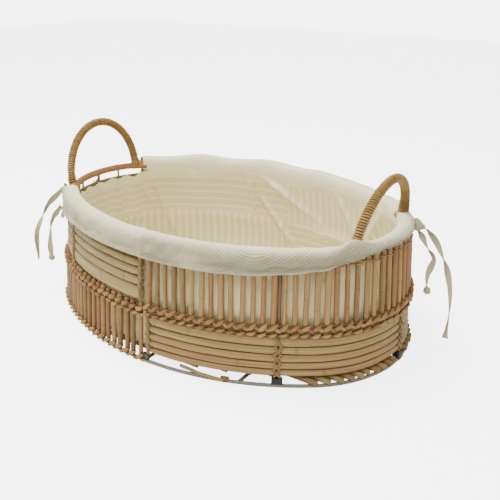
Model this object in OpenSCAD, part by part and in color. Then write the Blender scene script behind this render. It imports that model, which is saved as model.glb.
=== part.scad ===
// Oval baby cradle: rattan sticks and slats on a welded wire frame, two bow handles
// and a cotton liner folded over the rim. Millimetres, +X along the length, +Z up,
// origin under the middle of the cradle on the surface that it stands on.

/* [Overall size] */
// Half the length of the rim line
half_length = 300; // [260:5:330]
// Half the width of the rim line
half_width = 210; // [190:5:230]
// Height of the middle of the rim pole
rim_h = 194.5; // [185:0.5:205]
// How far the wall's outer face stands out past the rim line at the base
base_out = 17; // [15:0.5:20]
// How far that face comes back in for each millimetre of height
wall_slope = 0.066; // [0.04:0.002:0.08]

/* [Wire frame] */
// Diameter of the frame wire
wire_d = 5.6; // [5:0.2:6]
// Height of the middle ring
belt_h = 86; // [84:1:90]
// Number of bearer wires under the floor
bearers = 3; // [2:1:5]

/* [Cane] */
// Diameter of the upright and floor sticks
stick_d = 8.8; // [7:0.2:9.2]
// Number of upright sticks in each half of the wall
half_sticks = 56; // [40:1:58]
// Number of floor sticks
floor_sticks_n = 30; // [22:2:30]
// Diameter of the rim pole
pole_d = 12; // [10:0.5:12]
// Thickness of a slat
slat_t = 6; // [4:0.5:6.5]
// Gap between slats
slat_gap = 1.2; // [0.8:0.2:2]
// Diameter of the twining cane
twine_d = 4.4; // [3:0.2:5]

/* [Handles] */
// Direction of each handle foot, measured from the end of the cradle
foot_angle = 34; // [30:1:38]
// Diameter of the wrapped handle
handle_d = 16; // [13:0.5:18]
// Diameter of the cane inside the wrap
handle_core_d = 10; // [8:0.5:11]
// Lean of each handle away from the middle
handle_lean = 8; // [4:1:12]
// How far round the rim the left handle is turned, in degrees
left_turn = 4; // [0:1:6]
// Length of the left handle's straight legs
left_legs = 14; // [1:1:18]

/* [Liner] */
// Thickness of the cotton cloth
cloth_t = 1.2; // [0.8:0.1:1.6]
// Height of the collar's hem at the sides
hem_h = 170; // [160:1:174]
// Height of the collar's hem at the right end
end_hem_h = 186; // [180:1:188]
// Diameter of a tie's bulk, as a soft rolled tape
tie_d = 5; // [3:0.5:6]

/* [Hidden] */

$fn = 48;
eps = 0.01;
arc_lap = 0.001;
arc_seam = -0.002;
clearance = 0.3;

// The oval is four arcs that meet smoothly where the outline faces +-join degrees.
join = atan2(4, 3);
arc_gap = (half_length - half_width) / (sin(join) + cos(join) - 1);
end_x = arc_gap * cos(join);
side_y = arc_gap * sin(join);
end_r = half_length - end_x;
side_r = half_width + side_y;
// The list of arcs starts behind the left end and goes one and a half times round.
arc_from = [-180 - join, -180 + join, -join, join, 180 - join, 180 + join];
arc_to = [-180 + join, -join, join, 180 - join, 180 + join, 360 - join];
arc_mid = [[-end_x, 0], [0, side_y], [end_x, 0], [0, -side_y], [-end_x, 0], [0, side_y]];
arc_r = [end_r, side_r, end_r, side_r, end_r, side_r];

// Wall lines, as offsets out from the rim line at height z
function wall_out(z) = base_out - wall_slope * z;
function stick_off(z) = wall_out(z) - stick_d / 2;
function frame_off(z) = wall_out(z) - stick_d - wire_d / 2;
function slat_in(z) = wall_out(z) - stick_d;
lean = atan(wall_slope);
ring_off = wall_out(0) - 1.2 - wire_d / 2;
pole_off = stick_off(rim_h) - stick_d / 2 - pole_d / 2 - clearance;

// Heights
stick_foot_h = wire_d + clearance;
upper_stick_from = belt_h - wire_d - clearance;
upper_stick_to = rim_h + 2;
lower_stick_to = belt_h + 9;
floor_h = wire_d + stick_d / 2;
slat_base_h = 17;
lower_slat_h = [11, 11, 12, 12, 16.5];
upper_slat_base_h = lower_stick_to + 2.5;
upper_slat_h = [22, 15, 14, 14, 13];
collar_from = 181;
collar_top = rim_h + pole_d / 2 + 1.5;

// Directions, in degrees turned from +X
front = -90;
back = 90;
foot_gap = 5;

// The outline's point that faces direction a, moved out by off
function arc_at(a, i = 0) = a <= arc_to[i] + eps ? i : arc_at(a, i + 1);
function outline(a, off) = let (i = arc_at(a)) arc_mid[i] + (arc_r[i] + off) * [cos(a), sin(a)];
// Direction faced after a share t of the way round from the front, anticlockwise
side_len = side_r * (90 - join) * PI / 180;
end_len = end_r * join * PI / 180;
quarter = side_len + end_len;
function faced(s) = s <= side_len ? front + s / side_r * 180 / PI
    : -join + (s - side_len) / end_r * 180 / PI;
function facing(t) = let (s = (t - floor(t)) * 4 * quarter)
    s <= quarter ? faced(s) : s <= 2 * quarter ? -faced(2 * quarter - s)
    : s <= 3 * quarter ? 180 + faced(s - 2 * quarter) : 180 - faced(4 * quarter - s);
function half_len(y, off) = abs(y) <= (end_r + off) * sin(join)
    ? end_x + sqrt(pow(end_r + off, 2) - y * y)
    : sqrt(pow(side_r + off, 2) - pow(abs(y) + side_y, 2));

post_facing = [for (i = [0:7]) facing(i / 8)];
post_y = [for (a = post_facing) outline(a, frame_off(floor_h)).y];

// Tie routes, from the liner outwards and down
left_long_route = [[-297, -78, 190], [-301, -88, 178], [-313, -104, 160],
    [-318, -118, 140], [-321, -135, 108], [-308, -146, 64]];
left_short_route = [[-296, -94, 152], [-302, -101, 142], [-309, -110, 124],
    [-306, -120, 92], [-300, -125, 64]];
right_long_route = [[299, 78, 188], [310, 80, 182], [328, 82, 160], [344, 79, 133],
    [357, 70, 96], [364, 57, 62], [366, 44, 32]];
right_short_route = [[297, 70, 183], [306, 71, 173], [317, 72, 156], [326, 72, 142],
    [324, 60, 121], [328, 51, 99]];
knot_place = [294, 74.5, 190];

// Moves children to a point of the outline, with +X facing outwards
module place(a, off, z) {
    p = outline(a, off);
    translate([p.x, p.y, z]) rotate([0, 0, a]) children();
}

// A straight round bar from p to q
module bar(p, q, d) {
    v = q - p;
    translate(p) rotate([0, acos(v.z / norm(v)), atan2(v.y, v.x)]) cylinder(d = d, h = norm(v));
}

// Sweeps a profile (x is the offset out from the rim line, y the height) along the outline.
// A negative lap leaves a hair seam where two arcs meet, a positive one joins them.
module sweep(from, to, lap = arc_seam) {
    for (i = [0:len(arc_r) - 1]) {
        lo = max(from, arc_from[i]);
        hi = min(to, arc_to[i]);
        if (hi - lo > eps)
            translate([arc_mid[i].x, arc_mid[i].y, 0]) rotate([0, 0, lo])
                rotate_extrude(angle = hi - lo + lap) translate([arc_r[i], 0]) children();
    }
}

module full_ring() {
    sweep(-join, 360 - join, arc_lap) children();
}

// The oval's own face, moved out by off
module oval_face(off) {
    for (s = [-1, 1]) translate([s * end_x, 0]) circle(end_r + off);
    intersection() {
        translate([0, -side_y]) circle(side_r + off);
        translate([0, side_y]) circle(side_r + off);
        square([2 * (end_x + (end_r + off) * cos(join)), 4 * side_r], center = true);
    }
}

// Point i of a path moved to one side by half a thickness
function path_dir(p, i) = let (d = p[min(i + 1, len(p) - 1)] - p[max(i - 1, 0)]) d / norm(d);
function path_side(p, i, w) = p[i] + w * [-path_dir(p, i).y, path_dir(p, i).x];
module ribbon(p, t) {
    n = len(p) - 1;
    polygon(concat([for (i = [0:n]) path_side(p, i, t / 2)],
        [for (i = [n:-1:0]) path_side(p, i, -t / 2)]));
}

// ---- Wire frame ----

module base_ring() {
    color("#77756a") full_ring() translate([ring_off, wire_d / 2]) circle(d = wire_d);
}

module all_posts(d) {
    for (a = post_facing) post_bar(a, d);
}

module mid_ring() {
    color("#77756a") difference() {
        full_ring() translate([frame_off(belt_h), belt_h]) circle(d = wire_d);
        all_posts(wire_d + clearance);
    }
}

module post_bar(a, d) {
    place(a, frame_off(0), 0) rotate([0, -lean, 0])
        cylinder(d = d, h = (rim_h - wire_d / 2) / cos(lean));
}

module post(i) {
    color("#77756a") difference() {
        post_bar(post_facing[i], wire_d);
        place(post_facing[i], 0, -wire_d) translate([-half_width / 2, -wire_d, 0])
            cube([half_width, 2 * wire_d, wire_d + clearance]);
        full_ring() translate([pole_off, rim_h]) circle(d = pole_d + clearance);
    }
}

module post_tabs() {
    tab = [ring_off - wire_d / 2 - frame_off(0) - wire_d / 2 + 4, 16, 9];
    color("#3b3a35") difference() {
        for (a = post_facing)
            place(a, ring_off - wire_d / 2 - tab.x + 5, wire_d) translate([0, -tab.y / 2, 0]) cube(tab);
        all_posts(wire_d + clearance);
        lower_stick_bars(stick_d + clearance);
    }
}

module end_struts() {
    strut_d = 4;
    from = 150;
    color("#77756a") difference() {
        for (s = [-1, 1])
            place(180 + s * foot_angle / 2, frame_off(from) + (wire_d - strut_d) / 2, from)
                rotate([0, -lean, 0]) cylinder(d = strut_d, h = rim_h - from);
        full_ring() translate([pole_off, rim_h]) circle(d = pole_d + clearance);
    }
}

module floor_bearers() {
    span = 2 * half_length / (bearers + 1);
    color("#77756a") intersection() {
        for (i = [1:bearers])
            translate([i * span - half_length, 0, wire_d / 2]) rotate([90, 0, 0])
                cylinder(d = wire_d, h = 2 * half_length, center = true);
        linear_extrude(2 * wire_d) oval_face(ring_off - wire_d / 2 - clearance);
    }
}

// ---- Cane ----

module rim_pole() {
    color("#b08a5e") full_ring() translate([pole_off, rim_h]) circle(d = pole_d);
}

module upright(a, from, to, d) {
    place(a, stick_off(from), from) rotate([0, -lean, 0]) cylinder(d = d, h = (to - from) / cos(lean));
}

module upper_sticks() {
    color("#b58d66") for (i = [0:half_sticks - 1])
        upright(facing((i + 0.5) / (2 * half_sticks)), upper_stick_from, upper_stick_to, stick_d);
}

module lower_stick_bars(d) {
    for (i = [0:half_sticks - 1])
        upright(facing(0.5 + (i + 0.5) / (2 * half_sticks)), stick_foot_h, lower_stick_to, d);
}

module lower_sticks() {
    color("#a67c54") lower_stick_bars(stick_d);
}

// Floor sticks run the long way; those in line with a post stop short of it
function by_post(y) = min([for (p = post_y) abs(p - y)]) < (stick_d + wire_d) / 2 + clearance;
module floor_sticks() {
    inner = frame_off(floor_h) - wire_d / 2 - 1;
    pitch = 2 * (half_width - 11) / (floor_sticks_n - 1);
    color("#b8946c") for (i = [0:floor_sticks_n - 1]) {
        y = (i - (floor_sticks_n - 1) / 2) * pitch;
        x0 = -half_len(y, inner);
        x1 = half_len(y, by_post(y) ? inner : base_out - 2);
        translate([x0, y, floor_h]) rotate([0, 90, 0]) cylinder(d = stick_d, h = x1 - x0);
    }
}

function below(list, i) = i == 0 ? 0 : list[i - 1] + below(list, i - 1);
module slat_profile(z0, h) {
    polygon([[slat_in(z0), z0], [slat_in(z0) + slat_t * 0.7, z0],
        [slat_in(z0 + h / 2) + slat_t, z0 + h * 0.3], [slat_in(z0 + h / 2) + slat_t, z0 + h * 0.7],
        [slat_in(z0 + h) + slat_t * 0.7, z0 + h], [slat_in(z0 + h), z0 + h]]);
}

seam_gap = 2.2;
module lower_slat(i) {
    color(i == 4 ? "#b38866" : "#b99b70") sweep(front + seam_gap, back - seam_gap)
        slat_profile(slat_base_h + below(lower_slat_h, i), lower_slat_h[i] - slat_gap);
}

module upper_slat(i) {
    color("#b79a70") sweep(back + seam_gap, 360 + front - seam_gap)
        slat_profile(upper_slat_base_h + below(upper_slat_h, i), upper_slat_h[i] - slat_gap);
}

// A round cord of twining that lies against the wall's outer face
module twine(from, to, z) {
    sweep(from, to) translate([wall_out(z) + twine_d / 2 + clearance, z]) circle(d = twine_d);
}

module belt_twine_right() {
    color("#9a7248") for (z = [belt_h - 1, belt_h + 9]) twine(front, back, z);
}

module belt_twine_left() {
    color("#9a7248") for (z = [belt_h - 6, belt_h + 4]) twine(back, 360 + front, z);
}

module rim_twine() {
    color("#8a6038") sweep(front, back)
        translate([wall_out(rim_h - 12) + 1.3, rim_h - 12]) circle(d = 2);
}

module base_lashing() {
    color("#a47c50") sweep(back + 1, 359 + front)
        translate([base_out + clearance, clearance]) square([2.5, 2 * twine_d]);
}

// Strips of cane that lash slats to the posts, outside the slats
module tie_strip(a, from, to) {
    place(a, slat_in(from) + slat_t + clearance, from) rotate([0, -lean, 0])
        translate([0, -4, 0]) cube([2, 8, (to - from) / cos(lean)]);
}

module lower_slat_ties() {
    color("#a8834f") for (a = [post_facing[1], post_facing[2], post_facing[3]])
        tie_strip(a, slat_base_h, upper_stick_from - 2);
}

module upper_slat_ties() {
    color("#a8834f") for (a = [post_facing[5], post_facing[6], post_facing[7]])
        tie_strip(a, upper_slat_base_h, collar_from - 14);
}

module seam_ties() {
    color("#8f6a40") for (a = [front + seam_gap + 1, back - seam_gap - 1])
        tie_strip(a, slat_base_h, upper_stick_from - 2);
    color("#8f6a40") for (a = [back + seam_gap + 1, 360 + front - seam_gap - 1])
        tie_strip(a, upper_slat_base_h, collar_from - 14);
}

// A spare length of cane from under the lowest slat down to the base ring
module brace_cane() {
    top = outline(front + 9, slat_in(0) + 3);
    end = outline(front + 19, base_out + 1.5);
    color("#a98658") bar([top.x, top.y, slat_base_h - 5], [end.x, end.y, 6], 4);
}

// ---- Handles ----

handle_foot_off = pole_off + 2;
foot = outline(foot_angle, handle_foot_off);
bow_r = foot.y;
bow_h = rim_h - 5;
foot_cut_h = rim_h + pole_d / 2 + clearance;

// Puts what is modelled at the right end on its own end of the cradle
module on_end(side) {
    if (side > 0) children();
    else translate([-end_x, 0, 0]) rotate([0, 0, left_turn]) translate([end_x, 0, 0])
        mirror([1, 0, 0]) children();
}

// A round bar's face, with a hole in it or none
module ring_face(d, hole) {
    difference() {
        circle(d = d);
        if (hole > 0) circle(d = hole);
    }
}

// A handle's bow. The left one stands on straight legs, with a hair seam above them.
module bow(side, d, hole) {
    leg = left_legs + pole_d / 2;
    on_end(side) difference() {
        translate([foot.x, 0, bow_h]) rotate([0, handle_lean, 0]) {
            if (side > 0)
                rotate([90, 0, 90]) rotate([0, 0, -10]) rotate_extrude(angle = 200)
                    translate([bow_r, 0]) ring_face(d, hole);
            else {
                translate([0, 0, left_legs]) rotate([90, 0, 90]) rotate_extrude(angle = 180)
                    translate([bow_r, 0]) ring_face(d, hole);
                for (s = [-1, 1]) translate([0, s * bow_r, -pole_d / 2]) difference() {
                    cylinder(d = d, h = leg + arc_seam);
                    if (hole > 0) translate([0, 0, -eps]) cylinder(d = hole, h = leg + 2 * eps);
                }
            }
        }
        translate([0, -half_width, -foot_cut_h]) cube([2 * half_length, 2 * half_width, 2 * foot_cut_h]);
    }
}

module handle_core(side) {
    color("#8a6a44") bow(side, handle_core_d, 0);
}

module handle_wrap(side) {
    color("#b5863f") bow(side, handle_d, handle_core_d);
}

module handle_bindings(side) {
    collar_d = pole_d + 7;
    color("#a87a3c") on_end(side) for (s = [-1, 1]) difference() {
        sweep(s * foot_angle - 3.6, s * foot_angle + 3.6)
            translate([pole_off, rim_h]) circle(d = collar_d);
        full_ring() translate([pole_off, rim_h]) circle(d = pole_d + clearance);
        full_ring() translate([pole_off + pole_d / 2 - 1, rim_h - collar_d]) square([collar_d, 2 * collar_d]);
        translate([0, -half_width, foot_cut_h - 1]) cube([2 * half_length, 2 * half_width, collar_d]);
    }
}

// ---- Liner ----

liner_off = 2;
function liner_x(z) = frame_off(z) - wire_d / 2 - liner_off;
liner_floor_h = floor_h + stick_d / 2 + 0.5;

module liner_floor() {
    color("#efe6cf") translate([0, 0, liner_floor_h]) linear_extrude(cloth_t)
        oval_face(liner_x(liner_floor_h) - cloth_t);
}

module liner_wall() {
    color("#efe6cf") full_ring()
        ribbon([[liner_x(liner_floor_h), liner_floor_h], [liner_x(collar_from), collar_from]], cloth_t);
}

// The collar goes up inside the pole, over it and down outside the sticks to its hem
function collar_path(hem) = [
    [liner_x(collar_from), collar_from], [pole_off - pole_d / 2 - 2, rim_h - 5],
    [pole_off - pole_d / 2 - 1.6, rim_h + 3], [pole_off - 3, collar_top],
    [stick_off(rim_h), collar_top - 0.5], [wall_out(rim_h) + 3.4, rim_h + 2],
    [wall_out(hem) + 3.8, hem]];

front_from = -180 + foot_angle + left_turn + foot_gap;
front_to = -foot_angle - foot_gap;
back_from = foot_angle + foot_gap;
back_to = 180 - foot_angle + left_turn - foot_gap;
module liner_collar_front() {
    color("#f1ebdb") sweep(front_from, front_to)
        ribbon(collar_path(hem_h), cloth_t);
}

module liner_collar_back() {
    color("#f1ebdb") sweep(back_from, back_to)
        ribbon(collar_path(hem_h), cloth_t);
}

module liner_collar_end() {
    color("#f1ebdb") sweep(-foot_angle + foot_gap, foot_angle - foot_gap)
        ribbon(collar_path(end_hem_h), cloth_t);
}

// The tapes that run inside the collar's hem on both sides
module drawstring() {
    tape_h = 7;
    color("#e6dcc2") for (span = [[front_from, front_to], [back_from, back_to]])
        sweep(span[0], span[1]) translate([wall_out(hem_h) + 0.8, hem_h + 2])
            square([1.2, tape_h]);
}

module tie_knot() {
    color("#e9e0ca") translate(knot_place) sphere(d = 9);
}

// A tube along a route, as one closed solid
function cross_dir(p, i) = let (
    d = p[min(i + 1, len(p) - 1)] - p[max(i - 1, 0)],
    u = d / norm(d), s = cross(u, [0, 0, 1]), v = s / norm(s)) [v, cross(v, u)];
module tube(p, d, sides = 8) {
    n = len(p);
    rings = [for (i = [0:n - 1]) for (k = [0:sides - 1])
        p[i] + d / 2 * (cos(360 * k / sides) * cross_dir(p, i)[0] + sin(360 * k / sides) * cross_dir(p, i)[1])];
    walls = [for (i = [0:n - 2]) for (k = [0:sides - 1]) let (a = i * sides + k,
        b = i * sides + (k + 1) % sides) each [[a, b, b + sides], [a, b + sides, a + sides]]];
    polyhedron(rings, concat(walls, [[for (k = [sides - 1:-1:0]) k]],
        [[for (k = [0:sides - 1]) (n - 1) * sides + k]]));
}

// A smooth line through a route's points, with some points between each pair
function bend(a, b, c, d, t) = 0.5 * (2 * b + (c - a) * t + (2 * a - 5 * b + 4 * c - d) * t * t
    + (3 * b - a - 3 * c + d) * t * t * t);
function smooth(p, steps = 4) = let (n = len(p) - 1) concat([for (i = [0:n - 1]) for (j = [0:steps - 1])
    bend(p[max(i - 1, 0)], p[i], p[i + 1], p[min(i + 2, n)], j / steps)], [p[n]]);

module tie(route) {
    color("#e9e0ca") tube(smooth(route), tie_d);
}

base_ring();
mid_ring();
post(0);  // post_front
post(1);  // post_front_right
post(2);  // post_right_end
post(3);  // post_back_right
post(4);  // post_back
post(5);  // post_back_left
post(6);  // post_left_end
post(7);  // post_front_left
post_tabs();
end_struts();
floor_bearers();
rim_pole();
upper_sticks();
lower_sticks();
floor_sticks();
for (i = [0:4]) {
    lower_slat(i);
    upper_slat(i);
}
belt_twine_right();
belt_twine_left();
rim_twine();
base_lashing();
lower_slat_ties();
upper_slat_ties();
seam_ties();
brace_cane();
handle_core(-1);  // handle_left_core
handle_wrap(-1);  // handle_left_wrap
handle_bindings(-1);  // handle_left_bindings
handle_core(1);  // handle_right_core
handle_wrap(1);  // handle_right_wrap
handle_bindings(1);  // handle_right_bindings
liner_floor();
liner_wall();
liner_collar_front();
liner_collar_back();
liner_collar_end();
drawstring();
tie_knot();
tie(left_long_route);  // tie_left_long
tie(left_short_route);  // tie_left_short
tie(right_long_route);  // tie_right_long
tie(right_short_route);  // tie_right_short
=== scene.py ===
"""Oval baby cradle: rattan sticks and slats on a wire frame, two wound bow handles and a
cotton liner folded over the rim. Metres, +X to the knotted end, +Z up. The wall's pieces
are modelled flat, with x along the wall, -y outwards and z up, and are then bent round."""
import math
import random

import bmesh
import bpy
from mathutils import Matrix, Vector, noise


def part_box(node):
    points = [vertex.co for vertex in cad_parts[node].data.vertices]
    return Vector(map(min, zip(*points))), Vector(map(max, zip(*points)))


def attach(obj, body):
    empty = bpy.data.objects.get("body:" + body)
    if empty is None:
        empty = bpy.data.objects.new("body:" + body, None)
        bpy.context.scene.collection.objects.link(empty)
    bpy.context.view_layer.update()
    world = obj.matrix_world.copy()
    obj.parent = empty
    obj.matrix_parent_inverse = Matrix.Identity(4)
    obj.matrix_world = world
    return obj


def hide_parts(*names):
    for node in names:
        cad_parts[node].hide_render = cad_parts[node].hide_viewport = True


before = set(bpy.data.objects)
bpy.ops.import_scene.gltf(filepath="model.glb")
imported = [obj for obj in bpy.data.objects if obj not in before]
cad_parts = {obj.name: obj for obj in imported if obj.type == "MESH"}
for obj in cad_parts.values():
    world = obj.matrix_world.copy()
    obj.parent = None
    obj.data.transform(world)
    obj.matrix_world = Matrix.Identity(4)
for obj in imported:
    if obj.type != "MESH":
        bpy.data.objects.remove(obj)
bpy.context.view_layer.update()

bl_info = {
    "name": "Rattan Cradle",
    "version": (1, 0, 0),
    "blender": (4, 5, 0),
    "location": "View3D > Sidebar > Cradle",
    "description": "Builds an oval rattan cradle with a cotton liner around its frame",
    "category": "Object",
}

# ---- The oval outline and the wall's lines ----

HALF_LENGTH, HALF_WIDTH = 0.300, 0.210
JOIN = math.atan2(4, 3)
ARC_GAP = (HALF_LENGTH - HALF_WIDTH) / (math.sin(JOIN) + math.cos(JOIN) - 1)
END_X, SIDE_Y = ARC_GAP * math.cos(JOIN), ARC_GAP * math.sin(JOIN)
END_R, SIDE_R = HALF_LENGTH - END_X, HALF_WIDTH + SIDE_Y
SIDE_LEN, END_LEN = SIDE_R * (math.pi / 2 - JOIN), END_R * JOIN
QUARTER = SIDE_LEN + END_LEN
ROUND = 4 * QUARTER
STICK_D, WIRE_D, POLE_D, SLAT_T = 0.0088, 0.0056, 0.012, 0.006
RIM_H = 0.1945
# Uprights in each half of the wall, posts all round and sticks in the floor
UPRIGHTS, POSTS, FLOOR_STICKS = 56, 8, 30
PITCH = ROUND / (2 * UPRIGHTS)
FLOOR_PITCH = 2 * (HALF_WIDTH - 0.011) / (FLOOR_STICKS - 1)
BASE_OUT, WALL_SLOPE = 0.017, 0.066
LEAN = math.atan(WALL_SLOPE)


def facing(s):
    """Direction that the outline faces at arc length s from the front, anticlockwise"""
    s %= ROUND
    flip = s > 2 * QUARTER
    s = s - 2 * QUARTER if flip else s
    near = s if s <= QUARTER else 2 * QUARTER - s
    a = -math.pi / 2 + near / SIDE_R if near <= SIDE_LEN else -JOIN + (near - SIDE_LEN) / END_R
    a = a if s <= QUARTER else -a
    return a + math.pi if flip else a


def along(degrees):
    """Arc length from the front to where the outline faces a direction in degrees"""
    a = math.radians(degrees + 90) % (2 * math.pi)
    half, a = divmod(a, math.pi)
    a -= math.pi / 2
    near = -abs(a)
    s = SIDE_R * (near + math.pi / 2) if near <= -JOIN else SIDE_LEN + END_R * (near + JOIN)
    return half * 2 * QUARTER + (s if a <= 0 else 2 * QUARTER - s)


def outline(a, off, z=0.0):
    """Point of the outline that faces a, moved out by off"""
    c, s = math.cos(a), math.sin(a)
    if abs(s) > math.sin(JOIN):
        return Vector(((SIDE_R + off) * c, (SIDE_R + off) * s - math.copysign(SIDE_Y, s), z))
    return Vector(((END_R + off) * c + math.copysign(END_X, c), (END_R + off) * s, z))


def wall_out(z):
    """How far the wall's outer face stands off the outline at a height"""
    return BASE_OUT - WALL_SLOPE * z


def slat_in(z):
    """How far the slats' inner face stands off the outline"""
    return wall_out(z) - STICK_D


def stick_off(z):
    """How far the upright sticks' middle line stands off the outline"""
    return wall_out(z) - STICK_D / 2


def liner_off(z):
    """How far the liner stands off the outline, inside the wire posts"""
    return wall_out(z) - STICK_D - WIRE_D - 0.002


POLE_OFF = stick_off(RIM_H) - STICK_D / 2 - POLE_D / 2 - 0.0003

# ---- Modelling helpers ----


def start(add, name, **sizes):
    """Adds a primitive with nothing else selected, names it and applies its place"""
    bpy.ops.object.select_all(action="DESELECT")
    add(**sizes)
    obj = bpy.context.object
    obj.name = obj.data.name = name
    bpy.ops.object.transform_apply(location=True, rotation=True, scale=True)
    return obj


def only(obj):
    """Selects one object and makes it active"""
    bpy.ops.object.select_all(action="DESELECT")
    obj.select_set(True)
    bpy.context.view_layer.objects.active = obj


def pick(obj, kind, test):
    """Selects, in edit mode, only the verts, edges or faces that pass a test"""
    bpy.ops.mesh.select_all(action="DESELECT")
    bpy.ops.mesh.select_mode(type={"verts": "VERT", "edges": "EDGE", "faces": "FACE"}[kind])
    mesh = bmesh.from_edit_mesh(obj.data)
    for part in getattr(mesh, kind):
        part.select_set(bool(test(part)))
    mesh.select_flush_mode()
    bmesh.update_edit_mesh(obj.data)


def edge_way(edge):
    """Unit direction of an edge, ignoring its sign"""
    d = (edge.verts[1].co - edge.verts[0].co).normalized()
    return Vector((abs(d.x), abs(d.y), abs(d.z)))


def add_modifier(obj, kind, **settings):
    """Adds a modifier and applies it"""
    only(obj)
    modifier = obj.modifiers.new(kind.title(), kind)
    for key, value in settings.items():
        setattr(modifier, key, value)
    bpy.ops.object.modifier_apply(modifier=modifier.name)


def smooth(obj, degrees=50):
    """Shades an object smooth, apart from edges sharper than an angle"""
    only(obj)
    bpy.ops.object.shade_smooth_by_angle(angle=math.radians(degrees))


def wall_line():
    """The rim line as a curve, one and three quarter times round from the front"""
    line = bpy.data.objects.get("wall_line")
    if line is None:
        steps = 840
        curve = bpy.data.curves.new("wall_line", "CURVE")
        curve.dimensions, curve.twist_mode = "3D", "Z_UP"
        spline = curve.splines.new("POLY")
        spline.points.add(steps)
        for i, point in enumerate(spline.points):
            point.co = (*outline(facing(1.75 * ROUND * i / steps), 0), 1)
        line = bpy.data.objects.new("wall_line", curve)
        bpy.context.scene.collection.objects.link(line)
    return line


def bend_round(obj):
    """Bends a piece that was modelled flat round the oval"""
    add_modifier(obj, "CURVE", object=wall_line(), deform_axis="POS_X")


def edit_points(obj, move):
    """Moves every vertex of an object's mesh by a function of its place"""
    for v in obj.data.vertices:
        v.co = move(v.co)


def mark_grain(obj, axis="z"):
    """Keeps each point's place on its own cane, with the length last, for the grain"""
    grain = obj.data.attributes.new("grain", "FLOAT_VECTOR", "POINT")
    order = {"x": (1, 2, 0), "y": (0, 2, 1), "z": (0, 1, 2)}[axis]
    values = [v.co[i] for v in obj.data.vertices for i in order]
    grain.data.foreach_set("vector", values)


def mark_groove_shade(obj, axis, half):
    """Marks how near each point of a wound turn is to the groove beside it, from 0 to 1, for the
    painted shade in the grooves
    """
    groove = obj.data.attributes.new("groove", "FLOAT", "POINT")
    groove.data.foreach_set("value", [abs(v.co[axis]) / half for v in obj.data.vertices])


def lay_out(name, templates, places, seed=1):
    """Copies templates to places, each a (template number, matrix, tone), and joins them"""
    rng = random.Random(seed)
    made = []
    for which, matrix, tone in places:
        mesh = templates[which].data.copy()
        mesh.transform(matrix)
        count = len(mesh.vertices)
        mesh.attributes.new("tone", "FLOAT", "POINT").data.foreach_set("value", [tone] * count)
        grain = mesh.attributes["grain"].data
        values = [0.0] * (3 * count)
        grain.foreach_get("vector", values)
        shift = [rng.uniform(-5, 5) for _ in range(3)]
        grain.foreach_set("vector", [v + shift[i % 3] for i, v in enumerate(values)])
        copy = bpy.data.objects.new(name, mesh)
        bpy.context.scene.collection.objects.link(copy)
        made.append(copy)
    for template in set(templates):
        bpy.data.objects.remove(template)
    bpy.ops.object.select_all(action="DESELECT")
    for copy in made:
        copy.select_set(True)
    bpy.context.view_layer.objects.active = made[0]
    bpy.ops.object.join()
    obj = bpy.context.object
    obj.name = obj.data.name = name
    return obj


def done(obj, slot, *nodes, material=None, angle=50):
    """Gives a piece its material and its body, and hides the CAD nodes it stands for. Its slot is
    not used.
    """
    smooth(obj, angle)
    if material is not None:
        obj.data.materials.clear()
        obj.data.materials.append(material)
    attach(obj, "root")
    if nodes:
        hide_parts(*nodes)
    return obj


def at(s, off, z, *turns):
    """A place on the flat wall, with turns as (degrees, axis), the last one done first"""
    matrix = Matrix.Translation((s, -off, z))
    for degrees, axis in turns:
        matrix = matrix @ Matrix.Rotation(math.radians(degrees), 4, axis)
    return matrix


def strand(name, points, radii, sides=8):
    """A closed cane through points, from a curve with a round bevel and its own radii"""
    bpy.ops.object.select_all(action="DESELECT")
    bpy.ops.curve.primitive_nurbs_path_add()
    obj = bpy.context.object
    curve = obj.data
    curve.splines.clear()
    spline = curve.splines.new("POLY")
    spline.points.add(len(points) - 1)
    for point, co, radius in zip(spline.points, points, radii):
        point.co = (*co, 1)
        point.radius = radius
    curve.dimensions, curve.bevel_depth, curve.use_fill_caps = "3D", 1.0, True
    curve.bevel_resolution = max(0, sides // 2 - 2)
    bpy.ops.object.convert(target="MESH")
    obj = bpy.context.object
    obj.name = obj.data.name = name
    bpy.ops.object.mode_set(mode="EDIT")
    bpy.ops.mesh.select_all(action="SELECT")
    bpy.ops.mesh.remove_doubles(threshold=0.00002)
    bpy.ops.mesh.normals_make_consistent(inside=False)
    bpy.ops.object.mode_set(mode="OBJECT")
    return obj


def spline_line(points, steps=4):
    """A smooth line through points, with steps points for each stretch"""
    points = [Vector(p) for p in points]
    n = len(points) - 1
    line = []
    for i in range(n):
        a, b, c, d = points[max(i - 1, 0)], points[i], points[i + 1], points[min(i + 2, n)]
        for j in range(steps):
            t = j / steps
            line.append(0.5 * (2 * b + (c - a) * t + (2 * a - 5 * b + 4 * c - d) * t * t
                               + (3 * b - a - 3 * c + d) * t ** 3))
    return line + [points[n]]


# ---- Materials ----


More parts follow.
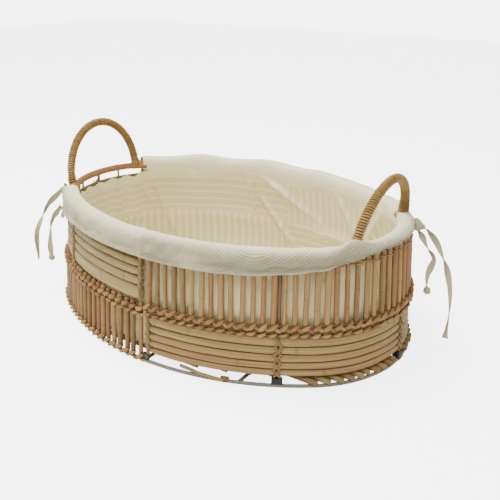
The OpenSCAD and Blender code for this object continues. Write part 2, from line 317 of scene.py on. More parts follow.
class Link:
    """A node socket that can be used in sums; a bare one only makes nodes"""

    def __init__(self, tree, socket=None):
        self.tree, self.socket = tree, socket

    def node(self, kind, output=0, inputs=None, **settings):
        """Adds a node: its settings first, then the values or links of its sockets"""
        node = self.tree.nodes.new(kind)
        for key, value in settings.items():
            setattr(node, key, value)
        for key, value in (inputs or {}).items():
            if isinstance(value, Link):
                self.tree.links.new(value.socket, node.inputs[key])
            else:
                node.inputs[key].default_value = value
        return Link(self.tree, node.outputs[output])

    def maths(self, operation, *values):
        return self.node("ShaderNodeMath", inputs=dict(enumerate((self, *values))),
                         operation=operation)

    def __add__(self, other):
        return self.maths("ADD", other)

    def __mul__(self, other):
        return self.maths("MULTIPLY", other)

    def __sub__(self, other):
        return self.maths("SUBTRACT", other)

    def __rsub__(self, other):
        return self.node("ShaderNodeMath", inputs={0: other, 1: self}, operation="SUBTRACT")

    __radd__, __rmul__ = __add__, __mul__

    def step(self, low, high):
        """Goes smoothly from 0 at low to 1 at high"""
        return self.node("ShaderNodeMapRange", interpolation_type="SMOOTHSTEP",
                         inputs={"Value": self, "From Min": low, "From Max": high})

    def scaled(self, size):
        return self.node("ShaderNodeVectorMath", operation="MULTIPLY",
                         inputs={0: self, 1: size})

    def noise(self, size, detail=3.0, roughness=0.5):
        """Noise over this vector, which is first multiplied by size"""
        return self.node("ShaderNodeTexNoise", inputs={
            "Vector": self.scaled(size), "Scale": 1.0, "Detail": detail, "Roughness": roughness})

    def split(self):
        """The x, y and z of this vector"""
        outputs = self.node("ShaderNodeSeparateXYZ", inputs={0: self}).socket.node.outputs
        return [Link(self.tree, outputs[i]) for i in range(3)]


def mix(factor, a, b, blend="MIX"):
    """Mixes two colours"""
    tree = next(v for v in (factor, a, b) if isinstance(v, Link)).tree
    node = tree.nodes.new("ShaderNodeMix")
    node.data_type, node.blend_type = "RGBA", blend
    for index, value in ((0, factor), (6, a), (7, b)):
        if isinstance(value, Link):
            tree.links.new(value.socket, node.inputs[index])
        else:
            node.inputs[index].default_value = value
    return Link(tree, node.outputs[2])


def rgb(colour, shade=1.0):
    """A colour as a socket takes it, made darker by shade"""
    return (*[c * shade for c in colour[:3]], 1.0)


def new_material(name, **fixed):
    """A material with a Principled shader, its fixed values set on its own sockets"""
    material = bpy.data.materials.new(name)
    material.use_nodes = True
    shader = material.node_tree.nodes["Principled BSDF"]
    for key, value in fixed.items():
        shader.inputs[key.replace("_", " ")].default_value = value
    return material, shader, Link(material.node_tree)


def finish_material(shader, nodes, height, bump, distance, **varying):
    """Links what varies over the surface, and a Bump for its height"""
    for key, value in varying.items():
        nodes.tree.links.new(value.socket, shader.inputs[key.replace("_", " ")])
    normal = nodes.node("ShaderNodeBump", inputs={
        "Strength": bump, "Distance": distance, "Height": height})
    nodes.tree.links.new(normal.socket, shader.inputs["Normal"])


# How the fibre's streaks lighten and darken cane
FIBRE_LIGHT, FIBRE_DARK = (1.25, 1.22, 1.15, 1), (0.55, 0.48, 0.38, 1)


def cane_material(name, light, dark, warm, roughness=0.55, streaks=1.0, joints=0.0):
    """Raw cane: long fibre streaks, blotches, odd warm or dark canes, joint rings and painted
    shade in the grooves of wound cane
    """
    material, shader, nodes = new_material(name, Specular_IOR_Level=0.35)
    grain = nodes.node("ShaderNodeAttribute", output=1, attribute_name="grain")
    tone = nodes.node("ShaderNodeAttribute", output=2, attribute_name="tone")
    fibre = grain.noise((650, 650, 7), 5, 0.65)
    blotch = grain.noise((90, 90, 22), 3)
    odd = nodes.node("ShaderNodeTexWhiteNoise", noise_dimensions="1D", inputs={"W": tone * 91.7})
    colour = mix(tone * 0.75 + (blotch - 0.5) * 0.9, rgb(light), rgb(dark))
    colour = mix(odd.step(0.55, 1.0) * 0.8, colour, rgb(warm))
    colour = mix((fibre - 0.5) * (2.2 * streaks) + 0.5,
                 mix(1.0, colour, FIBRE_LIGHT, "MULTIPLY"),
                 mix(1.0, colour, FIBRE_DARK, "MULTIPLY"))
    groove = nodes.node("ShaderNodeAttribute", output=2, attribute_name="groove")
    # Painted shade in the grooves between wound turns
    colour = mix(groove.step(0.35, 0.95) * 0.85, colour, rgb(dark, 0.45))
    height = fibre
    if joints:
        length = grain.split()[2]
        ring = (length * (1 / joints)).maths("FRACT").maths("PINGPONG", 0.5)
        ring = 1 - ring.step(0.0, 0.014)
        colour = mix(ring * 0.35, colour, rgb(dark, 0.42))
        height = height + ring * 2.0
    finish_material(shader, nodes, height, 0.35, 0.0006, Base_Color=colour,
                    Roughness=fibre * 0.25 + (roughness - 0.12))
    return material


# Bare steel where the paint is worn, and the cane colour of the painted light bounced off the
# canes
BARE_WIRE, CANE_BOUNCE_LIGHT = (0.20, 0.145, 0.09, 1), (0.30, 0.19, 0.085, 1)


def wire_material(name, colour):
    """Thick dull paint on wire, worn brown in places, with painted light bounced off the canes on
    the wire above the base
    """
    material, shader, nodes = new_material(name, Metallic=0.0, Specular_IOR_Level=0.4)
    place = nodes.node("ShaderNodeTexCoord", output=3)
    coarse = place.noise((70, 70, 70), 4)
    fine = place.noise((900, 900, 900), 2)
    worn = coarse.step(0.55, 0.72)
    cane_bounce_mask = place.split()[2].step(0.02, 0.06)
    shade = mix(worn * 0.7, rgb(colour), BARE_WIRE)
    # Painted light bounced off the canes, on the wire above the base
    shade = mix(cane_bounce_mask * 0.85, shade, CANE_BOUNCE_LIGHT)
    shade = mix(fine * 0.35, shade, rgb(colour, 0.45))
    finish_material(shader, nodes, fine + coarse, 0.25, 0.0004, Base_Color=shade,
                    Roughness=coarse * 0.3 + 0.42)
    return material


# Spacing of the cotton's threads and of the collar's ripples, the arc length from the front
# at which those part, and the colour of the painted shadows that the canes behind cast through the
# cloth
THREAD, RIPPLE, RIPPLE_MIDDLE = 0.0011, 0.0031, 0.165
SHADOW_OF_CANE = (0.64, 0.46, 0.20)
# Where the belt crosses the liner's cloth, and the spacing of the slats whose painted shadows show
# through it
BELT_AT, SLAT_PITCH = 0.084, 0.0152


def cotton_material(name, inside, shaded_outside, fold_at=None, cane_shadows=False):
    """Unbleached cotton: plain weave and slubs, painted cane shadows where asked, and past the
    fold a darker outside colour as painted shade, with ripples on the collar and painted shade in
    their troughs
    """
    material, shader, nodes = new_material(name, Specular_IOR_Level=0.15, Sheen_Weight=0.15,
                                           Sheen_Roughness=0.5)
    uv = nodes.node("ShaderNodeUVMap", uv_map="UVMap")
    across, up, _ = uv.split()
    thread = 2 * math.pi / THREAD
    weft = (across * thread).maths("SINE")
    warp = (up * thread).maths("SINE")
    weave = weft * warp
    slub = uv.noise((1500, 90, 1), 3, 0.6) + uv.noise((90, 1500, 1), 3, 0.6)
    cloud = uv.noise((18, 18, 1), 4, 0.55)
    near = (across * (1 / ROUND)).maths("FRACT") * ROUND - RIPPLE_MIDDLE
    near = (near * near + 0.0012).maths("SQRT")
    wander = uv.noise((70, 110, 1), 2)
    ripple = ((up + near * 0.6) * (2 * math.pi / RIPPLE) + wander * 7.0).maths("SINE")
    colour = rgb(inside)
    if fold_at is not None:
        # Past the fold the same cotton turns to the darker outside colour: painted shade
        colour = mix(up.step(fold_at - 0.006, fold_at + 0.012), colour, rgb(shaded_outside))
    colour = mix(cloud.step(0.4, 0.75) * 0.35, colour, rgb(inside, 0.86))
    colour = mix((slub - 1.0) * 0.5 + 0.12, colour, rgb(inside, 0.78))
    if cane_shadows:
        # Painted shadows of the canes behind the cloth
        colour = mix(painted_cane_shadows(across, up) * 0.36, colour, rgb(SHADOW_OF_CANE))
    height = weave * 0.25 + slub * 0.6
    rough = 0.5
    if fold_at is not None:
        zone = uv.noise((9, 30, 1), 2).step(0.2, 0.5) * up.step(fold_at - 0.004, fold_at + 0.006)
        zone = zone * (1 - near.step(0.19, 0.28)) * (1 - up.step(fold_at + 0.028, fold_at + 0.036))
        height = height + ripple * (zone * 1.5)
        # Painted shade in the troughs of the collar's ripples
        colour = mix((1 - ripple) * zone * 0.16, colour, rgb(shaded_outside, 0.45))
        rough = 1.0
    finish_material(shader, nodes, height, rough, 0.0007, Base_Color=colour,
                    Roughness=cloud * 0.1 + 0.82)
    return material


def painted_cane_shadows(across, up):
    """Painted shadows of the canes behind the thin cloth: 1 behind a cane, 0 at a gap"""
    left = across.step(2 * QUARTER - 0.002, 2 * QUARTER + 0.002)
    stick = (across * (1 / PITCH)).maths("FRACT").maths("PINGPONG", 0.5)
    upright = stick.step(0.12, 0.26)
    slat = ((up - (BELT_AT + 0.008)) * (1 / SLAT_PITCH)).maths("FRACT")
    slat = slat.maths("PINGPONG", 0.5).step(0.08, 0.2)
    high = up.step(BELT_AT - 0.006, BELT_AT)
    inside = 1 - up.step(0.150, 0.160)
    lower_left = left * (1 - high) * upright
    upper_left = left * high * slat
    upper_right = (1 - left) * high * upright
    lower_right = (1 - left) * (1 - high) * slat
    return (lower_left + upper_left + upper_right + lower_right) * inside


# ---- Settings that a user would change ----


def size(name, description, value, low, high):
    """A length that a user can change"""
    return bpy.props.FloatProperty(name=name, description=description, default=value, min=low,
                                   max=high, unit="LENGTH", precision=4)


def paint(name, description, value):
    """A colour that a user can change"""
    return bpy.props.FloatVectorProperty(name=name, description=description, default=value,
                                         subtype="COLOR", size=3, min=0.0, max=1.0)


class CradleSizes(bpy.types.PropertyGroup):
    """Sizes of the cradle's dressing"""
    stick: size("Stick", "Diameter of the upright and floor sticks", STICK_D, 0.006, 0.0092)
    wrap: size("Handle wrap", "Spacing of the handles' wound cane", 0.0037, 0.003, 0.006)
    handle: size("Handle", "Diameter of the wrapped handles at their feet", 0.016, 0.013, 0.018)
    cloth: size("Cloth", "Thickness of the cotton", 0.0012, 0.0008, 0.0016)
    tape: size("Tape", "Width of the tie tapes", 0.0115, 0.008, 0.012)
    wobble: size("Unevenness", "How far the canes stray from straight", 0.0006, 0.0, 0.001)


class CradleColours(bpy.types.PropertyGroup):
    """Colours of the cradle's canes, wire and cotton"""
    stick_light: paint("Stick, light", "Palest stick", (0.37, 0.235, 0.082))
    stick_dark: paint("Stick, dark", "Darkest stick", (0.15, 0.078, 0.022))
    stick_warm: paint("Stick, warm", "Reddish stick", (0.27, 0.10, 0.03))
    slat_light: paint("Slat, light", "Palest slat", (0.39, 0.30, 0.115))
    slat_dark: paint("Slat, dark", "Darkest slat", (0.235, 0.16, 0.055))
    wrap_light: paint("Wrap, light", "Palest wound cane", (0.46, 0.29, 0.075))
    wrap_dark: paint("Wrap, dark", "Darkest wound cane", (0.22, 0.12, 0.028))
    wire: paint("Wire", "Paint of the wire frame", (0.20, 0.185, 0.135))
    # The tabs at the posts' feet are near black as painted shade
    tab: paint("Tabs", "Paint of the tabs", (0.02, 0.018, 0.014))
    cotton_in: paint("Cotton, inside", "Liner inside", (0.99, 0.92, 0.60))
    # The collar's outside is darker than the inside of the same cotton: painted shade
    cotton_out_shaded: paint("Cotton, outside", "Collar outside", (0.45, 0.40, 0.22))


def sizes():
    return bpy.context.scene.cradle_sizes


def colours():
    return bpy.context.scene.cradle_colours


# ---- Pieces ----


class CRADLE_OT_camera(bpy.types.Operator):
    """Adds the camera"""
    bl_idname = "cradle.camera"
    bl_label = "Camera"

    def execute(self, context):
        azimuth, elevation = math.radians(34.43), math.radians(22.65)
        aim, distance = Vector((0, 0, 0.105)), 1.189
        back = Vector((math.sin(azimuth) * math.cos(elevation),
                       -math.cos(azimuth) * math.cos(elevation), math.sin(elevation)))
        bpy.ops.object.select_all(action="DESELECT")
        bpy.ops.object.camera_add()
        camera = context.object
        camera.name = "camera"
        camera.location = aim + distance * back
        camera.rotation_euler = back.to_track_quat("Z", "Y").to_euler()
        camera.data.lens, camera.data.sensor_width = 50.6, 36.0
        camera.data.shift_x = 0.0434
        context.scene.camera = camera
        return {"FINISHED"}


# Routes of the loose tapes, as (CAD node, route, twist in turns, width share, far end)
TAPES = (
    ("tie_left_long", ((-0.297, -0.078, 0.190), (-0.301, -0.088, 0.178), (-0.313, -0.104, 0.160),
                       (-0.318, -0.118, 0.140), (-0.321, -0.135, 0.108), (-0.308, -0.146, 0.064)),
     1.1, 1.0, "bare"),
    ("tie_left_short", ((-0.296, -0.094, 0.152), (-0.302, -0.101, 0.142), (-0.309, -0.110, 0.124),
                        (-0.306, -0.120, 0.092), (-0.300, -0.125, 0.064)), 0.7, 0.9, "knot"),
    ("tie_right_long", ((0.299, 0.078, 0.188), (0.310, 0.080, 0.182), (0.328, 0.082, 0.160),
                        (0.344, 0.079, 0.133), (0.357, 0.070, 0.096), (0.364, 0.057, 0.062),
                        (0.366, 0.044, 0.032)), 1.4, 1.0, "bare"),
    ("tie_right_short", ((0.297, 0.070, 0.183), (0.306, 0.071, 0.173), (0.317, 0.072, 0.156),
                         (0.326, 0.072, 0.142), (0.324, 0.060, 0.121), (0.328, 0.051, 0.099)),
     1.0, 0.9, "knot"),
)


def tape_mesh(name, line, width, turns, lead):
    """A flat cotton tape that twists along a line, creased along its middle"""
    obj = start(bpy.ops.mesh.primitive_grid_add, name, x_subdivisions=6,
                y_subdivisions=3 * (len(line) - 1), size=1.0)
    fine = spline_line(line, 3)
    last = len(fine) - 1
    lengths = [0.0]
    for a, b in zip(fine, fine[1:]):
        lengths.append(lengths[-1] + (b - a).length)
    uv = obj.data.uv_layers["UVMap"]
    for loop in obj.data.loops:
        x, y, _ = obj.data.vertices[loop.vertex_index].co
        uv.data[loop.index].uv = (x * width, lengths[round((y + 0.5) * last)])
    for v in obj.data.vertices:
        i = round((v.co.y + 0.5) * last)
        ahead = (fine[min(i + 1, last)] - fine[max(i - 1, 0)]).normalized()
        t = i / last
        angle = lead + 2 * math.pi * turns * t + 0.5 * math.sin(9 * t + lead)
        side = ahead.cross(Vector((math.cos(angle), math.sin(angle), 0.3))).normalized()
        face = ahead.cross(side)
        share = v.co.x * (0.86 + 0.14 * math.sin(23 * t + lead))
        cup = 0.16 * math.sin(5 * t + lead) * (4 * share * share - 1)
        v.co = fine[i] + width * (share * side + cup * face)
    add_modifier(obj, "SOLIDIFY", thickness=0.0013, offset=0.0)
    add_modifier(obj, "SUBSURF", levels=1, render_levels=1)
    return obj


def knot_mesh(name, place, radius):
    """Three fat loops of tape drawn tight round each other"""
    loop = start(bpy.ops.mesh.primitive_torus_add, name, major_segments=20, minor_segments=8,
                 major_radius=radius * 0.55, minor_radius=radius * 0.42)
    mark_grain(loop)
    turns = ((10, 20, 0), (75, -15, 40), (-50, 60, 110))
    obj = lay_out(name, [loop], [
        (0, Matrix.Translation(Vector(place) + Vector((0, 0, (i - 1) * radius * 0.22)))
         @ Matrix.Rotation(math.radians(a), 4, "X") @ Matrix.Rotation(math.radians(b), 4, "Y")
         @ Matrix.Rotation(math.radians(c), 4, "Z"), 0.5) for i, (a, b, c) in enumerate(turns)])
    bpy.ops.object.mode_set(mode="EDIT")
    bpy.ops.mesh.select_all(action="SELECT")
    bpy.ops.uv.reset()
    bpy.ops.object.mode_set(mode="OBJECT")
    edit_points(obj, lambda co: co + 0.0006 * noise.noise_vector(co * 400))
    return obj


class CRADLE_OT_tapes(bpy.types.Operator):
    """Adds the four loose tie tapes and their knots"""
    bl_idname = "cradle.tapes"
    bl_label = "Tie tapes"

    def execute(self, context):
        # The tapes take the collar's darker outside colour, which is painted shade
        cotton = cotton_material("tape_cotton", colours().cotton_out_shaded, colours().cotton_out_shaded)
        knot = done(knot_mesh("tie_knot_loops", (0.294, 0.0745, 0.190), 0.0095), "tie_tape",
                    "tie_knot", material=cotton, angle=80)
        for i, (node, points, turns, share, end) in enumerate(TAPES):
            line = spline_line(points)
            piece = tape_mesh(node.replace("tie", "tape"), line, sizes().tape * share, turns,
                              1.3 * i)
            done(piece, "tie_tape", node, material=cotton, angle=80)
            along_it = [knot] if node == "tie_right_long" else []
            if end == "knot":
                tip = done(knot_mesh(node + "_end", line[-1], 0.0062), "tie_tape",
                           material=cotton, angle=80)
                along_it.append(tip)
            sum((b - a).length for a, b in
                    zip(line, line[1:]))
        return {"FINISHED"}


class CRADLE_OT_wires(bpy.types.Operator):
    """Paints the wire frame's own parts"""
    bl_idname = "cradle.wires"
    bl_label = "Wire frame"

    def execute(self, context):
        wire = wire_material("wire_paint", colours().wire)
        # Near-black colour on the post tabs, standing in for shade at the posts' feet
        tab = wire_material("tab_paint", colours().tab)
        for name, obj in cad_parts.items():
            if name in ("base_ring", "mid_ring", "end_struts", "floor_bearers", "post_tabs") \
                    or name.startswith("post_"):
                obj.data.materials.clear()
                obj.data.materials.append(tab if name == "post_tabs" else wire)
        return {"FINISHED"}


def stick_template(name, length, seed, cut=0.0, slope=0.0):
    """One upright stick on the z axis: bevelled ends, uneven thickness and a slight bow"""
    rng = random.Random(seed)
    obj = start(bpy.ops.mesh.primitive_cylinder_add, name, vertices=10,
                radius=sizes().stick / 2, depth=length, location=(0, 0, length / 2))
    bpy.ops.object.mode_set(mode="EDIT")
    if slope:
        bpy.ops.mesh.select_all(action="SELECT")
        bpy.ops.mesh.bisect(plane_co=(0, 0, length - cut), plane_no=(slope, 0.2, 1),
                            use_fill=True, clear_outer=True)
    pick(obj, "edges", lambda e: edge_way(e).z < 0.9)
    bpy.ops.mesh.bevel(offset=0.0009, segments=2, affect="EDGES")
    pick(obj, "edges", lambda e: edge_way(e).z > 0.9 and e.calc_length() > length / 3)
    bpy.ops.mesh.subdivide(number_cuts=7)
    bpy.ops.object.mode_set(mode="OBJECT")
    mark_grain(obj)
    bow, way = sizes().wobble * rng.uniform(0.2, 1.0), rng.uniform(0, 2 * math.pi)
    lump = rng.uniform(0.3, 0.7) * length

    def shape(co):
        side = Vector((co.x, co.y, 0))
        swell = 1 - 0.05 * rng.random() + 0.05 * math.exp(-((co.z - lump) / 0.004) ** 2)
        lean = bow * math.sin(math.pi * co.z / length)
        return side * swell + Vector((lean * math.cos(way), lean * math.sin(way), co.z))

    edit_points(obj, shape)
    return obj


def stick_row(name, first, low, high, seed, shade=1.0):
    """A row of upright sticks, half way round, that follow the wall's lean"""
    rng = random.Random(seed)
    templates = [stick_template(f"{name}_{i}", (high - low) / math.cos(LEAN), seed + i)
                 for i in range(5)]
    places = []
    for i in range(UPRIGHTS):
        s = first + (i + 0.5) * PITCH + rng.uniform(-0.0012, 0.0012)
        thick = rng.uniform(0.80, 1.06)
        places.append((i * 3 % 5, at(s, stick_off(low), low, (-math.degrees(LEAN), "X"),
                                     (rng.uniform(-0.7, 0.7), "Y"),
                                     (rng.choice((0, 72, 144, 216, 288)), "Z"))
                       @ Matrix.Diagonal((thick, thick, 1, 1)), rng.random() ** shade))
    obj = lay_out(name, templates, places, seed)
    bend_round(obj)
    return obj


class CRADLE_OT_sticks(bpy.types.Operator):
    """Adds the upright sticks of both halves of the wall"""
    bl_idname = "cradle.sticks"
    bl_label = "Upright sticks"

    def execute(self, context):
        c = colours()
        cane = cane_material("stick_cane", c.stick_light, c.stick_dark, c.stick_warm, 0.5, 1.0,
                             0.13)
        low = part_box("upper_sticks")[0].z
        done(stick_row("sticks_upper", 0.0, low, 0.1965, 11), "cane_stick", "upper_sticks",
             material=cane)
        done(stick_row("sticks_lower", 2 * QUARTER, 0.0059, 0.095, 23, 0.5), "cane_stick",
             "lower_sticks", material=cane)
        return {"FINISHED"}


def half_len(y, off):
    """Half the oval's length at a distance y from its middle line, moved out by off"""
    y = abs(y)
    if y <= (END_R + off) * math.sin(JOIN):
        return END_X + math.sqrt((END_R + off) ** 2 - y * y)
    return math.sqrt((SIDE_R + off) ** 2 - (y + SIDE_Y) ** 2)


TIPS_OUT = 0.0205


class CRADLE_OT_floor(bpy.types.Operator):
    """Adds the floor's sticks, whose cut tips pass the wall at the knotted end"""
    bl_idname = "cradle.floor"
    bl_label = "Floor sticks"

    def execute(self, context):
        rng = random.Random(5)
        z = WIRE_D + STICK_D / 2
        inner = wall_out(z) - STICK_D - WIRE_D - 0.001
        posts = [outline(facing(ROUND * i / POSTS), wall_out(z) - STICK_D - WIRE_D / 2).y
                 for i in range(POSTS)]
        templates, places = [], []
        for i in range(FLOOR_STICKS):
            y = (i - (FLOOR_STICKS - 1) / 2) * FLOOR_PITCH
            by_post = min(abs(p - y) for p in posts) < (STICK_D + WIRE_D) / 2 + 0.0003
            left = half_len(y, inner)
            right = half_len(y, inner if by_post else TIPS_OUT)
            right -= rng.choice((0, 0.0015, 0.0035))
            if i < 3:  # the front ones would show under the whole side
                right = half_len(y, inner) - 0.012
            templates.append(stick_template(f"floor_{i}", left + right, 40 + i, 0.0015,
                                            rng.uniform(-0.15, 0.15)))
            turn = Matrix.Translation((-left, y, z)) @ Matrix.Rotation(math.pi / 2, 4, "Y")
            places.append((i, turn, 0.4 + 0.6 * rng.random()))
        obj = lay_out("sticks_floor", templates, places, 9)
        c = colours()
        cane = cane_material("floor_cane", c.slat_light, c.stick_dark, c.stick_warm, 0.55, 1.0,
                             0.19)
        done(obj, "cane_stick", "floor_sticks", material=cane)
        return {"FINISHED"}


# Each half's lowest edge, and its slats' heights from the bottom up
LOWER_SLATS = (0.017, (0.011, 0.011, 0.012, 0.012, 0.0165))
UPPER_SLATS = (0.0975, (0.022, 0.015, 0.014, 0.014, 0.013))
SLAT_GAP = 0.0012


def slat_mesh(name, first, last, low, height, seed, tone):
    """One slat, flat along x: rounded split cane with uneven edges, bent round the wall"""
    rng = random.Random(seed)
    length = last - first
    obj = start(bpy.ops.mesh.primitive_cube_add, name, size=1.0,
                location=(first + length / 2, 0, 0), scale=(length, SLAT_T, height))
    bpy.ops.object.mode_set(mode="EDIT")
    pick(obj, "edges", lambda e: edge_way(e).x > 0.9 and e.verts[0].co.y < 0)
    bpy.ops.mesh.bevel(offset=min(0.0046, height * 0.42), segments=4, affect="EDGES")
    pick(obj, "edges", lambda e: edge_way(e).x > 0.9 and e.verts[0].co.y > 0)
    bpy.ops.mesh.bevel(offset=0.0012, segments=1, affect="EDGES")
    pick(obj, "edges", lambda e: edge_way(e).x > 0.9)
    bpy.ops.mesh.subdivide(number_cuts=119)
    bpy.ops.object.mode_set(mode="OBJECT")
    mark_grain(obj, "x")
    middle = low + height / 2
    shift = Vector([rng.uniform(-9, 9) for _ in range(3)])

    def shape(co):
        wave = noise.noise(Vector((co.x * 14, 0, 0)) + shift)
        edge = noise.noise(Vector((co.x * 55, co.z * 60, 3)) + shift)
        to_end = min(co.x - first, last - co.x)
        pinch = 1 - 0.42 * math.exp(-((to_end / 0.009) ** 2))
        z = co.z * (1 + 0.05 * edge) * pinch + 0.0006 * wave + middle
        out = slat_in(z) + SLAT_T / 2 - co.y + 0.0004 * edge
        return Vector((co.x, -out, z))

    edit_points(obj, shape)
    tones = obj.data.attributes.new("tone", "FLOAT", "POINT")
    tones.data.foreach_set("value", [tone] * len(obj.data.vertices))
    grain = obj.data.attributes["grain"].data
    grain.foreach_set("vector", [c + s for v in grain for c, s in zip(v.vector, shift)])
    bend_round(obj)
    return obj


class CRADLE_OT_slats(bpy.types.Operator):
    """Adds the slats, five in the lower right half and five in the upper left half"""
    bl_idname = "cradle.slats"
    bl_label = "Slats"

    def execute(self, context):
        c = colours()
        cane = cane_material("slat_cane", c.slat_light, c.slat_dark, (0.33, 0.20, 0.08), 0.5, 1.2,
                             0.31)
        for part, (low, heights), ends, tones, seed in (
                ("lower", LOWER_SLATS, (along(-89.5), along(89.5)),
                 (0.35, 0.62, 0.28, 0.55, 0.85), 200),
                ("upper", UPPER_SLATS, (along(90.5), along(269.5)),
                 (0.3, 0.6, 0.5, 0.75, 0.55), 205)):
            z = low
            for i, height in enumerate(heights):
                rng = random.Random(70 + i)
                nick = [rng.uniform(0.0, 0.003) for _ in range(2)]
                obj = slat_mesh(f"slat_{part}_{i + 1}", ends[0] + nick[0], ends[1] - nick[1], z,
                                height - SLAT_GAP, seed + 7 * i, tones[i])
                done(obj, "cane_slat", f"{part}_slat_{i + 1}", material=cane)
                z += height
        return {"FINISHED"}


def bead_template(name, half, bend=0.0, twist=0.0):
    """A fat bead of cane, its ends drawn back and in, lying along x"""
    obj = start(bpy.ops.mesh.primitive_uv_sphere_add, name, segments=10, ring_count=9, radius=1.0,
                rotation=(0, math.pi / 2, 0))
    mark_grain(obj, "x")
    for g in obj.data.attributes["grain"].data:
        g.vector = Vector(g.vector) * 0.006
    bpy.ops.object.mode_set(mode="EDIT")
    bpy.ops.mesh.select_all(action="SELECT")
    bpy.ops.transform.resize(value=half)
    bpy.ops.object.mode_set(mode="OBJECT")

    def shape(co):
        t = co.x / half[0]
        body = 1 - 0.25 * t * t
        return Vector((co.x, co.y * body + bend * t * t, co.z * body + twist * t ** 3))

    edit_points(obj, shape)
    return obj


def bead_row(name, count, first, off, z, half, tilt, bend, seed, jitter=0.0005):
    """A row of beads on the wall, each tilted and with its ends bent back"""
    rng = random.Random(seed)
    templates = [bead_template(f"{name}_{i}", [h * k for h in half], bend)
                 for i, k in enumerate((0.94, 1.0, 1.05))]
    places = [(rng.randrange(len(templates)),
               at(first + i * PITCH + rng.uniform(-jitter, jitter), off,
                  z + rng.uniform(-jitter, jitter), (-math.degrees(LEAN), "X"),
                  (-tilt + rng.uniform(-10, 10), "Y")),
               rng.random()) for i in range(count)]
    return lay_out(name, templates, places, seed)


def rope(name, first, last, off, z, radius, wave=0.0):
    """A cane that runs along the wall, and weaves in and out of the sticks by wave"""
    count = max(8, round((last - first) / (PITCH / 4)))
    points = []
    for i in range(count + 1):
        s = first + (last - first) * i / count
        sway = wave * math.sin(math.pi * s / PITCH)
        points.append((s, -(off + sway), z + 0.0006 * noise.noise(Vector((s * 40, off * 900, z)))))
    obj = strand(name, points, [radius] * (count + 1), 6)
    mark_grain(obj, "x")
    return obj


def join_flat(name, parts, seed=3):
    """Joins pieces that are already in their flat places, each with its own tone"""
    rng = random.Random(seed)
    return lay_out(name, parts, [(i, Matrix(), rng.random()) for i in range(len(parts))], seed)


class CRADLE_OT_belt(bpy.types.Operator):
    """Adds the twining round the middle: chevrons on the right, beads on the left, and dark ropes
    behind them as painted shade
    """
    bl_idname = "cradle.belt"
    bl_label = "Middle twining"

    def execute(self, context):
        c = colours()
        cane = cane_material("twining_cane", (0.38, 0.25, 0.08), (0.16, 0.08, 0.022), c.stick_warm,
                             0.55, 1.1)
        # Very dark ropes behind the beads, standing in for the shade between them
        shade = cane_material("core_cane", (0.15, 0.085, 0.035), (0.07, 0.038, 0.015),
                              (0.12, 0.06, 0.03), 0.8, 1.0)
        rows = [bead_row("belt_leaves", UPRIGHTS, PITCH * 0.5, wall_out(0.093) + 0.0026,
                         0.0935, (0.0086, 0.0027, 0.0033), 38, 0.0042, 31, 0.0008),
                bead_row("belt_backs", UPRIGHTS, PITCH, wall_out(0.093) + 0.0006, 0.0905,
                         (0.0080, 0.0022, 0.0026), -30, 0.0030, 36, 0.0008),
                bead_row("belt_loops", UPRIGHTS, PITCH * 0.5, wall_out(0.083) + 0.002, 0.0825,
                         (0.0072, 0.0025, 0.0027), 20, 0.0036, 32, 0.0008)]
        right = join_rows("belt_right", rows)
        bend_round(right)
        done(right, "lashing_cane", "belt_twine_right", material=cane)
        rows = [bead_row("belt_left_a", UPRIGHTS, 2 * QUARTER + PITCH * 0.5,
                         wall_out(0.086) + 0.002, 0.0868, (0.0072, 0.0026, 0.0033), 22, 0.0034,
                         33),
                bead_row("belt_left_b", UPRIGHTS, 2 * QUARTER + PITCH, wall_out(0.079) + 0.0018,
                         0.0785, (0.0066, 0.0024, 0.0028), 12, 0.0032, 34)]
        left = join_rows("belt_left", rows)
        bend_round(left)
        done(left, "lashing_cane", "belt_twine_left", material=cane)
        right_ends, left_ends = (0.004, 2 * QUARTER - 0.004), (2 * QUARTER + 0.004, ROUND - 0.004)
        shade_ropes = [rope(f"core_{i}", *ends, wall_out(wall_z) - inwards, z, radius)
                 for i, (ends, wall_z, inwards, z, radius) in enumerate((
                     (right_ends, 0.09, 0.0012, 0.0955, 0.0021),
                     (right_ends, 0.09, 0.001, 0.0872, 0.0024),
                     (right_ends, 0.09, 0.0014, 0.0805, 0.002),
                     (left_ends, 0.086, 0.001, 0.0875, 0.0022),
                     (left_ends, 0.08, 0.001, 0.0795, 0.0022)))]
        core = join_flat("belt_cores", shade_ropes)
        bend_round(core)
        done(core, "lashing_cane", material=shade)
        return {"FINISHED"}


def join_rows(name, rows):
    """Joins finished rows, which already have their tones"""
    bpy.ops.object.select_all(action="DESELECT")
    for row in rows:
        row.select_set(True)
    bpy.context.view_layer.objects.active = rows[0]
    bpy.ops.object.join()
    obj = bpy.context.object
    obj.name = obj.data.name = name
    return obj


class CRADLE_OT_base_beads(bpy.types.Operator):
    """Adds the lashing that ties the lower left sticks to the base ring"""
    bl_idname = "cradle.base_beads"
    bl_label = "Base lashing"

    def execute(self, context):
        c = colours()
        cane = cane_material("bead_cane", (0.40, 0.26, 0.085), (0.17, 0.085, 0.025), c.stick_warm,
                             0.55, 1.1)
        rows = [bead_row("base_beads_a", UPRIGHTS, 2 * QUARTER + PITCH * 0.5,
                         wall_out(0.008) + 0.0012, 0.0088, (0.0078, 0.0027, 0.0036), 24, 0.003,
                         41),
                bead_row("base_beads_b", UPRIGHTS, 2 * QUARTER + PITCH, wall_out(0.003) + 0.0006,
                         0.0032, (0.0062, 0.0024, 0.0021), 14, 0.002, 42)]
        obj = join_rows("base_beads", rows)
        bend_round(obj)
        done(obj, "lashing_cane", "base_lashing", material=cane)
        return {"FINISHED"}


